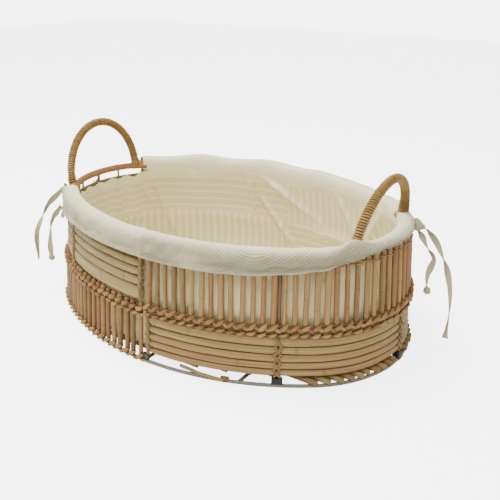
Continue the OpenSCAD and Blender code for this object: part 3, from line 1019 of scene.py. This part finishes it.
def strap_template(name, height, slant, width=0.0046):
    """A flat cane strip that crosses a slat's face on the slant, its ends tucked in"""
    half, out = height / 2, 0.0012
    points = [(-slant * 1.1, 0.004, -half - 0.0008), (-slant, 0.0004, -half),
              (-slant * 0.8, -out, -half * 0.72), (0, -out - 0.0004, 0),
              (slant * 0.8, -out, half * 0.72), (slant, 0.0004, half),
              (slant * 1.1, 0.004, half + 0.0008)]
    obj = strand(name, points, [width / 2] * len(points), 8)
    add_modifier(obj, "SUBSURF", levels=1, render_levels=1)
    mark_grain(obj, "z")
    edit_points(obj, lambda co: Vector((co.x, -out * 0.6 + (co.y + out * 0.6) * 0.62, co.z)))
    return obj


class CRADLE_OT_lashings(bpy.types.Operator):
    """Adds the cane lashings of the slats at the posts and at the seams"""
    bl_idname = "cradle.lashings"
    bl_label = "Slat lashings"

    def execute(self, context):
        c = colours()
        cane = cane_material("lashing_cane", c.slat_dark, (0.17, 0.10, 0.035), (0.22, 0.12, 0.045),
                             0.5, 1.0)
        groups = (
            ("lashing_lower", LOWER_SLATS, [ROUND * i / POSTS for i in (1, 2, 3)], 0.005,
             "lower_slat_ties"),
            ("lashing_upper", UPPER_SLATS, [ROUND * i / POSTS for i in (5, 6, 7)], 0.005,
             "upper_slat_ties"),
            ("lashing_seams_lower", LOWER_SLATS, [along(-88.9), along(88.9)], 0.0022, "seam_ties"),
            ("lashing_seams_upper", UPPER_SLATS, [along(91.1), along(268.9)], 0.0022, None))
        for name, (low, heights), places_at, slant, node in groups:
            rng = random.Random(len(name))
            templates, places = [], []
            z = low
            for i, height in enumerate(heights):
                sign = 1 if i % 2 else -1
                templates.append(strap_template(f"{name}_{i}", height, sign * slant))
                templates.append(strap_template(f"{name}_{i}_under", height,
                                                -sign * slant * 0.8, 0.0036))
                for s in places_at:
                    middle = z + height / 2 - SLAT_GAP / 2
                    out = slat_in(middle) + SLAT_T + 0.0002
                    place = at(s + rng.uniform(-0.001, 0.001), out, middle,
                               (-math.degrees(LEAN), "X"))
                    places.append((2 * i, place, rng.random()))
                    places.append((2 * i + 1, place, rng.random()))
                z += height
            obj = lay_out(name, templates, places, 4)
            bend_round(obj)
            done(obj, "lashing_cane", *([node] if node else []), material=cane)
        turn = start(bpy.ops.mesh.primitive_torus_add, "turn", major_segments=16, minor_segments=6,
                     major_radius=0.0037, minor_radius=0.0012, rotation=(0, math.pi / 2, 0))
        mark_grain(turn, "y")
        rng = random.Random(8)
        ring_off = wall_out(0) - 0.0012 - WIRE_D / 2
        places = [(0, at(s + k * 0.0022, ring_off, WIRE_D / 2 + 0.0021,
                         (rng.uniform(-14, 14), "Z")), rng.random())
                  for s in (along(0), along(-71)) for k in range(-2, 3)]
        wraps = lay_out("ring_wraps", [turn], places, 6)
        bend_round(wraps)
        done(wraps, "lashing_cane", material=cane)
        return {"FINISHED"}


class CRADLE_OT_rim(bpy.types.Operator):
    """Adds the rim pole, the fine twining under it and the stray cane at the base"""
    bl_idname = "cradle.rim"
    bl_label = "Rim pole"

    def execute(self, context):
        c = colours()
        cane = cane_material("pole_cane", (0.38, 0.22, 0.075), (0.18, 0.085, 0.025),
                             c.stick_warm, 0.42, 0.9, 0.16)
        begin = along(144)
        count = 300
        points, radii = [], []
        for i in range(count + 1):
            t = i / count
            s = begin - 0.004 + (ROUND + 0.022) * t
            near_start, near_end = math.exp(-t * count / 5), math.exp(-(1 - t) * count / 5)
            sway = 0.0006 * noise.noise(Vector((s * 9, 0, 0)))
            points.append((s, -(POLE_OFF + sway - 0.0045 * near_start + 0.002 * near_end),
                           RIM_H + sway - 0.005 * near_start + 0.001 * near_end))
            knuckle = math.exp(-(((s + 0.03) % 0.16 - 0.08) / 0.0035) ** 2)
            radii.append(POLE_D / 2 * (0.97 + 0.06 * knuckle))
        pole = strand("pole", points, radii, 12)
        mark_grain(pole, "x")
        pole = join_flat("rim_pole_cane", [pole])
        bend_round(pole)
        done(pole, "rim_cane", "rim_pole", material=cane)

        off = wall_out(0.1825) - STICK_D / 2
        fine = [rope("fine_a", 0.004, 2 * QUARTER - 0.004, off, 0.1838, 0.0009, 0.0052),
                rope("fine_b", 0.004, 2 * QUARTER - 0.004, off, 0.1815, 0.0009, -0.0052)]
        twine = join_flat("rim_twining", fine)
        bend_round(twine)
        done(twine, "lashing_cane", "rim_twine", material=cane)

        top = outline(math.radians(-81), slat_in(0) + 0.003, 0.012)
        foot = outline(math.radians(-71), 0.0185, 0.006)
        middle = (top + foot) / 2 + Vector((0, -0.001, -0.0015))
        line = spline_line((top, top.lerp(middle, 0.5), middle, foot), 3)
        brace = strand("brace", line, [0.0026] * len(line), 8)
        mark_grain(brace, "x")
        split = cane_material("stray_cane_skin", c.slat_light, c.slat_dark, c.slat_dark, 0.5)
        done(join_flat("stray_cane", [brace]), "rim_cane", "brace_cane", material=split)
        return {"FINISHED"}


# The right handle's foot, and each bow's radius, foot height and outward lean
FOOT = outline(math.radians(34), POLE_OFF + 0.002)
BOW_R, BOW_H, BOW_LEAN = FOOT.y, RIM_H - 0.005, math.radians(8)
# The left bow is turned on round the rim, and has straight legs
LEFT_TURN, LEFT_LEGS = math.radians(4), 0.014
TURN_R, WRAP_T, RING_R, RING_T = 0.0063, 0.0018, 0.0074, 0.0019


def bow_point(share, side):
    """Point of a handle's middle line, at a share of the way from its back foot"""
    legs = LEFT_LEGS if side < 0 else 0.0
    run = share * (math.pi * BOW_R + 2 * legs) - legs
    angle = min(math.pi, max(0.0, run / BOW_R))
    up = BOW_R * math.sin(angle) + legs + min(0.0, run) - max(0.0, run - math.pi * BOW_R)
    point = Vector((FOOT.x + up * math.sin(BOW_LEAN), BOW_R * math.cos(angle),
                    BOW_H + up * math.cos(BOW_LEAN)))
    if side > 0:
        return point
    turn = Matrix.Rotation(LEFT_TURN, 3, "Z")
    return turn @ Vector((END_X - point.x, point.y, point.z)) - Vector((END_X, 0, 0))


def bow_way(share, side):
    """Direction of a handle's middle line"""
    return (bow_point(share + 0.004, side) - bow_point(share - 0.004, side)).normalized()


class CRADLE_OT_handles(bpy.types.Operator):
    """Adds both handles: a bent cane, its wound wrap and the bindings at the feet"""
    bl_idname = "cradle.handles"
    bl_label = "Handles"

    def execute(self, context):
        c = colours()
        core_cane = cane_material("handle_core", c.stick_dark, (0.12, 0.06, 0.02), c.stick_dark,
                                  0.7)
        wound = cane_material("handle_wound", c.wrap_light, c.wrap_dark, (0.30, 0.14, 0.03), 0.36,
                              0.5)
        for side, label in ((-1, "left"), (1, "right")):
            rng = random.Random(50 + side)
            run = math.pi * BOW_R + 2 * (LEFT_LEGS if side < 0 else 0)
            begin = 0.0105 / run
            line = [bow_point(begin + (1 - 2 * begin) * i / 48, side) for i in range(49)]
            inner = strand("core", line, [0.0056] * 49, 10)
            mark_grain(inner, "z")
            core = join_flat(f"bow_core_{label}", [inner])
            done(core, "handle_core_cane", f"handle_{label}_core", material=core_cane)

            turn = start(bpy.ops.mesh.primitive_torus_add, "turn", major_segments=16,
                         minor_segments=6, major_radius=TURN_R, minor_radius=WRAP_T)
            mark_grain(turn, "y")
            for g, v in zip(turn.data.attributes["grain"].data, turn.data.vertices):
                g.vector = (v.co.z, math.hypot(v.co.x, v.co.y), math.atan2(v.co.y, v.co.x) * 0.006)
            mark_groove_shade(turn, 2, WRAP_T)
            count = round(run * (1 - 2 * begin) / sizes().wrap)
            places = []
            for i in range(count + 1):
                share = begin + (1 - 2 * begin) * i / count
                thick = sizes().handle / 0.0162 * (0.88 + 0.12 * abs(2 * share - 1) ** 1.5)
                thick *= rng.uniform(0.97, 1.02)
                tone = rng.uniform(0.25, 0.7)
                if side > 0 and share < 0.14:
                    thick, tone = thick * (1.22 - 1.4 * share), 1.0
                turn_to = bow_way(share, side).to_track_quat("Z", "Y").to_matrix().to_4x4()
                places.append((0, Matrix.Translation(bow_point(share, side)) @ turn_to
                               @ Matrix.Rotation(math.radians(9 + rng.uniform(-3, 3)), 4, "Y")
                               @ Matrix.Diagonal((thick, thick, 0.82, 1)), tone))
            wrap = lay_out(f"bow_wrap_{label}", [turn], places, 60 + side)
            done(wrap, "handle_wrap_cane", f"handle_{label}_wrap", material=wound)

            ring = start(bpy.ops.mesh.primitive_torus_add, "ring", major_segments=18,
                         minor_segments=6, major_radius=RING_R, minor_radius=RING_T,
                         rotation=(0, math.pi / 2, 0))
            mark_grain(ring, "y")
            for g, v in zip(ring.data.attributes["grain"].data, ring.data.vertices):
                g.vector = (v.co.x, math.hypot(v.co.y, v.co.z), math.atan2(v.co.z, v.co.y) * 0.007)
            mark_groove_shade(ring, 0, RING_T)
            places = []
            for degrees in ((34, -34) if side > 0 else (150, 218)):
                turns = 5 if degrees != 150 else 4
                for k in range(turns):
                    s = along(degrees) + (k - (turns - 1) / 2) * 0.0037
                    places.append((0, at(s, POLE_OFF + 0.0004, RIM_H, (rng.uniform(-9, 9), "Z"),
                                         (rng.uniform(-5, 5), "Y")), rng.random()))
            binding = lay_out(f"bow_binding_{label}", [ring], places, 80 + side)
            bend_round(binding)
            done(binding, "handle_wrap_cane", f"handle_{label}_bindings", material=wound)
        return {"FINISHED"}


# ---- Liner ----

COLUMNS = 480
# Heights of the liner's floor and of the top of its wall, and how far in each is drawn
FLOOR_H, FLOOR_TUCK, WALL_TOP_H, TOP_PULL = 0.0152, 0.006, 0.183, 0.0062
# Cloth up the wall, over the collar, and from the wall's top to the outside's darker colour, which
# is painted shade
WALL_CLOTH, COLLAR_CLOTH, FOLD_CLOTH = 0.170, 0.062, 0.024
# Where the collar is left open at the left handle
OPEN_FROM, OPEN_TO = along(150) - 0.013, along(218) + 0.012
# Height of the collar's hem, at shares of the way round from the front
HEM_AT = ((0.0, 0.1690), (0.07, 0.1685), (0.10, 0.1700), (0.13, 0.1740), (0.158, 0.1785),
          (0.18, 0.1865), (0.205, 0.1935), (0.22, 0.1950), (0.31, 0.1950), (0.34, 0.1800),
          (0.40, 0.1700), (0.60, 0.1700), (0.68, 0.1660), (0.69, 0.1640), (0.815, 0.1400),
          (0.828, 0.1450), (0.842, 0.1560), (0.858, 0.1680), (0.90, 0.1700), (1.0, 0.1700))
# Creases inside the liner: from (s, z) to (s, z), width and depth, in metres
CREASES = (
    (1.100, 0.178, 1.035, 0.020, 0.0075, 0.0045), (1.024, 0.198, 1.000, 0.165, 0.008, 0.004),
    (0.893, 0.200, 0.880, 0.090, 0.007, 0.006), (0.890, 0.196, 0.752, 0.115, 0.008, 0.0055),
    (0.869, 0.134, 0.795, 0.050, 0.008, 0.0055), (0.840, 0.170, 0.770, 0.140, 0.006, 0.003),
    (1.132, 0.170, 1.088, 0.110, 0.009, 0.004), (1.180, 0.165, 1.150, 0.080, 0.010, 0.004),
    (0.700, 0.190, 0.640, 0.100, 0.010, 0.004), (0.560, 0.185, 0.610, 0.110, 0.010, 0.004),
    (0.500, 0.180, 0.470, 0.070, 0.010, 0.005), (0.350, 0.180, 0.400, 0.070, 0.011, 0.004),
    (0.120, 0.180, 0.060, 0.080, 0.010, 0.003), (1.450, 0.170, 1.520, 0.060, 0.010, 0.004),
    (1.290, 0.170, 1.340, 0.070, 0.010, 0.004), (0.740, 0.120, 0.700, 0.020, 0.010, 0.004))


def step(low, high, x):
    """Goes smoothly from 0 at low to 1 at high"""
    t = min(1.0, max(0.0, (x - low) / (high - low)))
    return t * t * (3 - 2 * t)


def hem_height(s):
    """Height of the collar's hem"""
    t = (s / ROUND) % 1.0
    for (a, low), (b, high) in zip(HEM_AT, HEM_AT[1:]):
        if a <= t <= b:
            return low + (high - low) * step(a, b, t)
    return HEM_AT[0][1]


def crease(s, z):
    """How far the creases push the liner in at a place"""
    total = 0.0
    for s0, z0, s1, z1, width, depth in CREASES:
        along_it = Vector((s1 - s0, z1 - z0))
        place = Vector((s - s0, z - z0))
        t = place.dot(along_it) / along_it.length_squared
        fade = step(-0.08, 0.12, t) * (1 - step(0.8, 1.1, t))
        if fade > 0:
            side = (place.x * along_it.y - place.y * along_it.x) / along_it.length
            ridge = math.exp(-abs(side) / width * 1.6)
            valley = 0.45 * math.exp(-(side / width - 1.6) ** 2)
            total += depth * fade * (ridge - valley) * 1.25
    return total


def wall_place(s, v):
    """The liner's inside at share v of the way up from its floor to under the rim. Its top
    edge is ruffled where the collar is open, and the cloth presses out between the posts,
    but not at the belt. The creases, soft hollows and puckers push it in."""
    gap = step(OPEN_FROM - 0.02, OPEN_FROM + 0.02, s)
    gap *= 1 - step(OPEN_TO - 0.02, OPEN_TO + 0.02, s)
    ruffle = 0.0022 * math.sin(s * 190) + 0.002 * noise.noise(Vector((s * 60, 1, 0)))
    top = WALL_TOP_H - gap * (0.010 + ruffle)
    z = FLOOR_H + (top - FLOOR_H) * v
    soft = 0.0016 * noise.noise(Vector((math.cos(2 * math.pi * s / ROUND) * 6,
                                        math.sin(2 * math.pi * s / ROUND) * 6, z * 26)))
    free = step(0.0, 0.12, v) * (1 - 0.8 * step(0.86, 1.0, v) * (1 - gap))
    between = math.sin(math.pi * (s / ROUND * POSTS % 1.0)) ** 0.5
    shelf = 1 - math.exp(-((z - 0.086) / 0.012) ** 2)
    press = 0.0058 * between * shelf * step(0.03, 0.2, v) * (1 - step(0.9, 1.0, v))
    pucker = 0.0008 * noise.noise(Vector((s * 150, z * 120, 4)))
    inwards = max(0.0, crease(s, z)) * 1.8 + abs(soft) + 0.0006 + pucker
    pull = TOP_PULL * step(0.10, WALL_TOP_H, z) * (1 - gap)
    off = liner_off(z) - pull + press - free * inwards
    return s, off - FLOOR_TUCK * (1 - step(0.0, 0.06, v)), z


def collar_place(s, v):
    """The collar at share v of the way from under the rim, over it and down to the hem. It
    puffs up at the back, crests at the right handle's feet, and is drawn in at the bare end."""
    hem = hem_height(s)
    puff = noise.noise(Vector((math.cos(2 * math.pi * s / ROUND) * 9,
                               math.sin(2 * math.pi * s / ROUND) * 9, 0)))
    s_round = s % ROUND
    back = step(along(66), along(90), s_round) * (1 - step(along(140), along(150), s_round))
    rise = 0.0022 * abs(puff) + back * (0.0035 + 0.003 * math.sin(s_round * 46))
    crest = 0.013 * math.exp(-((s_round - along(-34) + 0.004) / 0.021) ** 2)
    crest += 0.008 * math.exp(-((s_round - along(44)) / 0.013) ** 2)
    bare = step(0.145, 0.175, s_round / ROUND) * (1 - step(0.315, 0.335, s_round / ROUND))
    below, out_h = wall_out(hem), RIM_H - hem
    fold = 1 + noise.noise(Vector((s_round * 28, 7, 0)))
    path = spline_line([
        (liner_off(WALL_TOP_H) - TOP_PULL, 0, WALL_TOP_H), (POLE_OFF - 0.0077, 0, RIM_H - 0.004),
        (POLE_OFF - 0.0066, 0, RIM_H + 0.0036 + rise * 0.5),
        (POLE_OFF - 0.0018, 0, RIM_H + 0.0078 + rise),
        (stick_off(RIM_H) - 0.001, 0, RIM_H + 0.0078 + rise * 0.7 + crest),
        (wall_out(RIM_H) + 0.0036 + 0.002 * puff - 0.003 * bare, 0, RIM_H + 0.0032 + crest * 0.8),
        (wall_out(RIM_H) + 0.0050 + 0.002 * puff - 0.004 * bare, 0,
         RIM_H - out_h * 0.22 + crest * 0.2),
        (wall_out(RIM_H - out_h * 0.5) + 0.0008 + 0.002 * fold, 0, RIM_H - out_h * 0.52),
        (below + 0.0046 - 0.003 * bare, 0, hem + out_h * 0.28),
        (below + 0.0062 - 0.003 * bare, 0, hem + out_h * 0.13),
        (below + 0.0040 - 0.003 * bare, 0, hem)], 4)
    place = v * (len(path) - 1)
    i = min(int(place), len(path) - 2)
    p = path[i].lerp(path[i + 1], place - i)
    loose = step(0.25, 0.55, v) * (1 - step(0.93, 1.0, v)) * min(1.0, out_h / 0.015)
    pull = noise.noise(Vector((s_round * 62 + v * 5.0, v * 2.4, 2)))
    fine = noise.noise(Vector((s_round * 170 + v * 16.0, v * 5.0, 5)))
    folds = math.sin(2 * math.pi * (v * 3.4 + 0.5 * noise.noise(Vector((s_round * 12, 3, 3)))))
    relief = 0.0009 * folds - 0.0034 * (abs(pull) - 0.2) + 0.0007 * fine + 0.0006
    return s, p.x + loose * relief, p.z


class CRADLE_OT_liner(bpy.types.Operator):
    """Adds the cotton liner: floor, wall and the collar that folds over the rim"""
    bl_idname = "cradle.liner"
    bl_label = "Liner"

    def execute(self, context):
        c = colours()
        first, last = round(COLUMNS * (OPEN_TO + 0.002) / ROUND), COLUMNS + round(
            COLUMNS * (OPEN_FROM - 0.002) / ROUND)
        wall = self.grid("liner_wall_cloth", 0, COLUMNS, 44, wall_place, 0.0, WALL_CLOTH)
        collar = self.grid("liner_collar_cloth", first, last, 36, collar_place, WALL_CLOTH,
                           COLLAR_CLOTH)
        floor = self.floor()
        obj = join_rows("liner", [wall, collar, floor])
        bpy.ops.object.mode_set(mode="EDIT")
        bpy.ops.mesh.select_all(action="SELECT")
        bpy.ops.mesh.remove_doubles(threshold=0.0004)
        bpy.ops.mesh.normals_make_consistent(inside=False)
        bpy.ops.object.mode_set(mode="OBJECT")
        add_modifier(obj, "SOLIDIFY", thickness=sizes().cloth, offset=0.0)
        cotton = cotton_material("liner_cotton", c.cotton_in, c.cotton_out_shaded,
                                 WALL_CLOTH + FOLD_CLOTH, True)
        # A warmer, yellower copy of the cotton for the wall's outer face, as painted light shining
        # through the cloth from inside
        back = cotton_material("liner_back", (1.0, 0.90, 0.50), c.cotton_out_shaded)
        obj.data.materials.clear()
        obj.data.materials.append(cotton)
        obj.data.materials.append(back)
        uv = obj.data.uv_layers["UVMap"].data
        # The outer face of the wall, seen between the canes, has no painted cane shadows on it,
        # and takes the warmer cotton copy as painted light shining through from inside
        for face in obj.data.polygons:
            outward = face.normal.x * face.center.x + face.normal.y * face.center.y > 0
            behind = 0 <= uv[face.loop_start].uv.y < WALL_CLOTH and face.center.z > 0.0175
            face.material_index = 1 if outward and behind else 0
        done(obj, "liner_cotton", "liner_floor", "liner_wall", "liner_collar_front",
             "liner_collar_back", "liner_collar_end", "drawstring", angle=80)
        return {"FINISHED"}

    def grid(self, name, first, last, rows, place, low, length):
        """A grid of cloth, modelled flat and bent round, with its UV in metres"""
        obj = start(bpy.ops.mesh.primitive_grid_add, name, x_subdivisions=last - first,
                    y_subdivisions=rows, size=1.0)
        uv = obj.data.uv_layers["UVMap"]
        for loop in obj.data.loops:
            x, y, _ = obj.data.vertices[loop.vertex_index].co
            s = (first + (x + 0.5) * (last - first)) * ROUND / COLUMNS
            uv.data[loop.index].uv = (s, low + length * (y + 0.5))

        def shape(co):
            s = (first + (co.x + 0.5) * (last - first)) * ROUND / COLUMNS
            s, off, z = place(s, co.y + 0.5)
            return Vector((s, -off, z))

        edit_points(obj, shape)
        bend_round(obj)
        return obj

    def floor(self):
        """The liner's floor, a disc of rings drawn in towards its middle"""
        rings = 26
        obj = start(bpy.ops.mesh.primitive_grid_add, "liner_floor_cloth", x_subdivisions=COLUMNS,
                    y_subdivisions=rings, size=1.0)
        rim = [outline(facing(ROUND * i / COLUMNS), liner_off(FLOOR_H) - FLOOR_TUCK)
               for i in range(COLUMNS + 1)]
        for v in obj.data.vertices:
            share = 0.5 - v.co.y
            p = rim[round((v.co.x + 0.5) * COLUMNS)] * share
            sag = 0.0009 * noise.noise(p * 30) * step(1.0, 0.9, share) if share < 1 else 0.0
            v.co = Vector((p.x, p.y, FLOOR_H + sag))
        uv = obj.data.uv_layers["UVMap"]
        for loop in obj.data.loops:
            co = obj.data.vertices[loop.vertex_index].co
            # The floor's UV lines the painted cane shadows up with the floor sticks under it
            uv.data[loop.index].uv = (co.y * PITCH / FLOOR_PITCH + 3.0, co.x * 0.1 - 0.1)
        return obj


# What the ground and sky add where the camera sees them, and the light that the sky gives
GROUND_SEEN, SKY_SEEN, SKY_LIGHT = 4.0, 4.8, 1.05
# The lights, as (name, place, width, power)
LIGHTS = (("light_key", (0.5, -1.2, 1.9), 0.8, 21.0),
          ("light_left", (-1.8, -0.6, 1.1), 0.8, 7.0),
          ("light_top", (-0.5, -0.1, 1.9), 0.7, 46.0))


class CRADLE_OT_stage(bpy.types.Operator):
    """Adds the plain floor, the soft lights and the pale surroundings"""
    bl_idname = "cradle.stage"
    bl_label = "Stage"

    def execute(self, context):
        ground = start(bpy.ops.mesh.primitive_plane_add, "studio_floor", size=9.0)
        material, shader, nodes = new_material("studio_white", Roughness=0.9)
        shader.inputs["Base Color"].default_value = (0.95, 0.95, 0.95, 1)
        shader.inputs["Emission Color"].default_value = (1, 1, 1, 1)
        seen = nodes.node("ShaderNodeLightPath", output=0)
        nodes.tree.links.new((seen * GROUND_SEEN).socket, shader.inputs["Emission Strength"])
        ground.data.materials.append(material)
        world = bpy.data.worlds.new("studio")
        world.use_nodes = True
        sky = world.node_tree.nodes["Background"]
        sky.inputs["Color"].default_value = (1, 1, 1, 1)
        around = Link(world.node_tree).node("ShaderNodeLightPath", output=0)
        world.node_tree.links.new((around * SKY_SEEN + SKY_LIGHT).socket, sky.inputs["Strength"])
        context.scene.world = world
        aim = Vector((0, 0, 0.1))
        for name, place, width, power in LIGHTS:
            bpy.ops.object.select_all(action="DESELECT")
            bpy.ops.object.light_add(type="AREA", location=place)
            light = context.object
            light.name = name
            light.data.size, light.data.energy = width, power
            light.rotation_euler = (Vector(place) - aim).to_track_quat("Z", "Y").to_euler()
        return {"FINISHED"}


class CRADLE_OT_clear_guides(bpy.types.Operator):
    """Removes the line that the wall's pieces were bent along"""
    bl_idname = "cradle.clear_guides"
    bl_label = "Clear guides"

    def execute(self, context):
        bpy.data.objects.remove(wall_line())
        return {"FINISHED"}


STEPS = (CRADLE_OT_camera, CRADLE_OT_tapes, CRADLE_OT_wires, CRADLE_OT_sticks, CRADLE_OT_floor,
         CRADLE_OT_slats, CRADLE_OT_belt, CRADLE_OT_base_beads, CRADLE_OT_lashings,
         CRADLE_OT_rim, CRADLE_OT_handles, CRADLE_OT_liner, CRADLE_OT_stage,
         CRADLE_OT_clear_guides)


class CRADLE_PT_panel(bpy.types.Panel):
    """The cradle's sizes, colours and steps"""
    bl_idname = "CRADLE_PT_panel"
    bl_label = "Cradle"
    bl_space_type = "VIEW_3D"
    bl_region_type = "UI"
    bl_category = "Cradle"

    def draw(self, context):
        layout = self.layout
        for group in (context.scene.cradle_sizes, context.scene.cradle_colours):
            box = layout.box()
            for key in group.bl_rna.properties.keys():
                if key not in ("rna_type", "name"):
                    box.prop(group, key)
        for step_class in STEPS:
            layout.operator(step_class.bl_idname)


CLASSES = (CradleSizes, CradleColours, *STEPS, CRADLE_PT_panel)


def register():
    for item in CLASSES:
        bpy.utils.register_class(item)
    bpy.types.Scene.cradle_sizes = bpy.props.PointerProperty(type=CradleSizes)
    bpy.types.Scene.cradle_colours = bpy.props.PointerProperty(type=CradleColours)


def unregister():
    del bpy.types.Scene.cradle_colours
    del bpy.types.Scene.cradle_sizes
    for item in reversed(CLASSES):
        bpy.utils.unregister_class(item)


def main():
    register()
    for item in STEPS:
        group, name = item.bl_idname.split(".")
        getattr(getattr(bpy.ops, group), name)()


if __name__ == "__main__":
    main()
